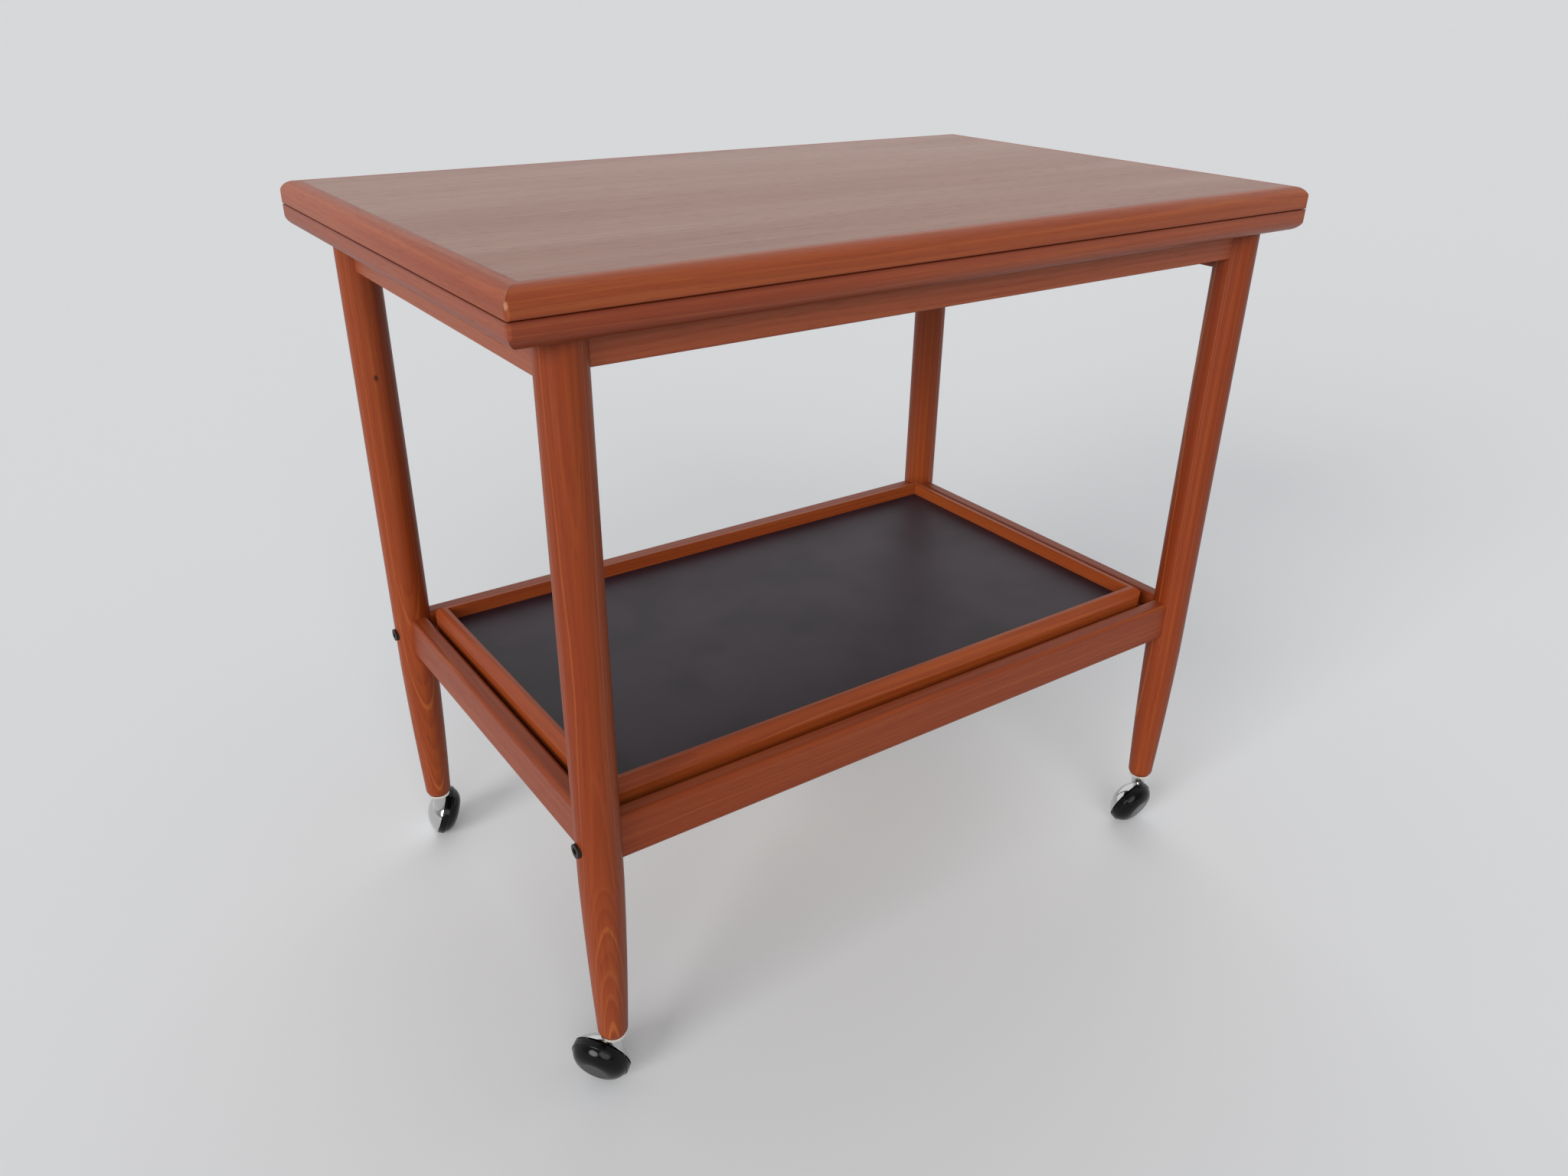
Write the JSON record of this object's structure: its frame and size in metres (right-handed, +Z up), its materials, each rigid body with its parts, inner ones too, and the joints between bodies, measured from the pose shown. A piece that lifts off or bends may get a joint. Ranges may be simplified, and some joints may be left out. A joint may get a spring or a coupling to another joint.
{
  "type": "tea trolley",
  "caption": "Wooden tea trolley with a fold-over top that turns on its frame to open flat, a lift-out tray below and hooded swivel castors on tapered round legs.",
  "frame": {"origin": "on the floor below the middle of the closed top", "axes": "+X along the top's length, +Y across it towards the hinged back edge, +Z up"},
  "size_m": [0.7, 0.4382, 0.637],
  "materials": {
    "teak_frame": "oiled satin",
    "teak_lipping": "oiled satin",
    "teak_veneer": "oiled satin",
    "teak_tray": "oiled satin",
    "plain_wood": "plain",
    "laminate": "satin",
    "wheel_black": "gloss",
    "chrome": "polished",
    "nickel": "polished",
    "steel": "plain",
    "dark_steel": "blackened",
    "brass": "satin"
  },
  "bodies": {
    "frame": {"leg_front_left": "teak_frame", "leg_front_right": "teak_frame", "leg_back_left": "teak_frame", "leg_back_right": "teak_frame", "apron_front": "teak_frame", "apron_back": "teak_frame", "apron_left": "teak_frame", "apron_right": "teak_frame", "lower_rail_front": "teak_frame", "lower_rail_back": "teak_frame", "lower_rail_left": "teak_frame", "lower_rail_right": "teak_frame", "pivot_rail": "plain_wood", "tray_bearer_front": "plain_wood", "tray_bearer_back": "plain_wood", "tray_bearer_left": "plain_wood", "tray_bearer_right": "plain_wood", "frame_bolts": "dark_steel", "barrel_nuts": "steel", "castor_sockets": "nickel"},
    "lower_leaf": {"lower_leaf_panel": "teak_veneer", "lower_leaf_lipping_front": "teak_lipping", "lower_leaf_lipping_back": "teak_lipping", "lower_leaf_lipping_left": "teak_lipping", "lower_leaf_lipping_right": "teak_lipping", "hinge_plates_lower": "brass", "hinge_pins": "brass", "pivot_plate": "steel", "pivot_bolt": "steel", "pivot_washer": "steel", "pivot_nut": "steel"},
    "upper_leaf": {"upper_leaf_panel": "teak_veneer", "upper_leaf_lipping_front": "teak_lipping", "upper_leaf_lipping_back": "teak_lipping", "upper_leaf_lipping_left": "teak_lipping", "upper_leaf_lipping_right": "teak_lipping", "hinge_plates_upper": "brass"},
    "tray": {"tray_board": "plain_wood", "tray_facing": "laminate", "tray_rim_front": "teak_tray", "tray_rim_back": "teak_tray", "tray_rim_left": "teak_tray", "tray_rim_right": "teak_tray"},
    "castor_front_left": {"castor_hood_front_left": "chrome", "castor_stem_front_left": "steel", "castor_axle_front_left": "steel"},
    "wheel_front_left": {"castor_wheel_front_left": "wheel_black"},
    "castor_front_right": {"castor_hood_front_right": "chrome", "castor_stem_front_right": "steel", "castor_axle_front_right": "steel"},
    "wheel_front_right": {"castor_wheel_front_right": "wheel_black"},
    "castor_back_left": {"castor_hood_back_left": "chrome", "castor_stem_back_left": "steel", "castor_axle_back_left": "steel"},
    "wheel_back_left": {"castor_wheel_back_left": "wheel_black"},
    "castor_back_right": {"castor_hood_back_right": "chrome", "castor_stem_back_right": "steel", "castor_axle_back_right": "steel"},
    "wheel_back_right": {"castor_wheel_back_right": "wheel_black"}
  },
  "joints": [
    {"name": "top_turn", "type": "hinge", "parent": "frame", "child": "lower_leaf", "pos_m": [-0.10875, 0.10875, 0.6021], "axis": [0, 0, -1], "range_deg": [0, 90]},
    {"name": "top_fold", "type": "hinge", "parent": "lower_leaf", "child": "upper_leaf", "pos_m": [0, 0.2178, 0.61975], "axis": [-1, 0, 0], "range_deg": [0, 180]},
    {"name": "tray_lift", "type": "slide", "parent": "frame", "child": "tray", "axis": [0, 0, 1], "range_m": [0, 0.28]},
    {"name": "swivel_front_left", "type": "hinge", "parent": "frame", "child": "castor_front_left", "pos_m": [-0.3075, -0.18725, 0.0525], "axis": [0, 0, 1], "continuous": true},
    {"name": "roll_front_left", "type": "hinge", "parent": "castor_front_left", "child": "wheel_front_left", "pos_m": [-0.31516, -0.17858, 0.02398], "axis": [-0.7722, -0.5407, -0.3338], "continuous": true},
    {"name": "swivel_front_right", "type": "hinge", "parent": "frame", "child": "castor_front_right", "pos_m": [0.3075, -0.18725, 0.0525], "axis": [0, 0, 1], "continuous": true},
    {"name": "roll_front_right", "type": "hinge", "parent": "castor_front_right", "child": "wheel_front_right", "pos_m": [0.29612, -0.18935, 0.02398], "axis": [0.0658, -0.9403, -0.3338], "continuous": true},
    {"name": "swivel_back_left", "type": "hinge", "parent": "frame", "child": "castor_back_left", "pos_m": [-0.3075, 0.18725, 0.0525], "axis": [0, 0, 1], "continuous": true},
    {"name": "roll_back_left", "type": "hinge", "parent": "castor_back_left", "child": "wheel_back_left", "pos_m": [-0.30181, 0.19733, 0.02398], "axis": [0.8677, -0.3683, -0.3338], "continuous": true},
    {"name": "swivel_back_right", "type": "hinge", "parent": "frame", "child": "castor_back_right", "pos_m": [0.3075, 0.18725, 0.0525], "axis": [0, 0, 1], "continuous": true},
    {"name": "roll_back_right", "type": "hinge", "parent": "castor_back_right", "child": "wheel_back_right", "pos_m": [0.31561, 0.19551, 0.02398], "axis": [0.7428, -0.5803, -0.3338], "continuous": true}
  ]
}
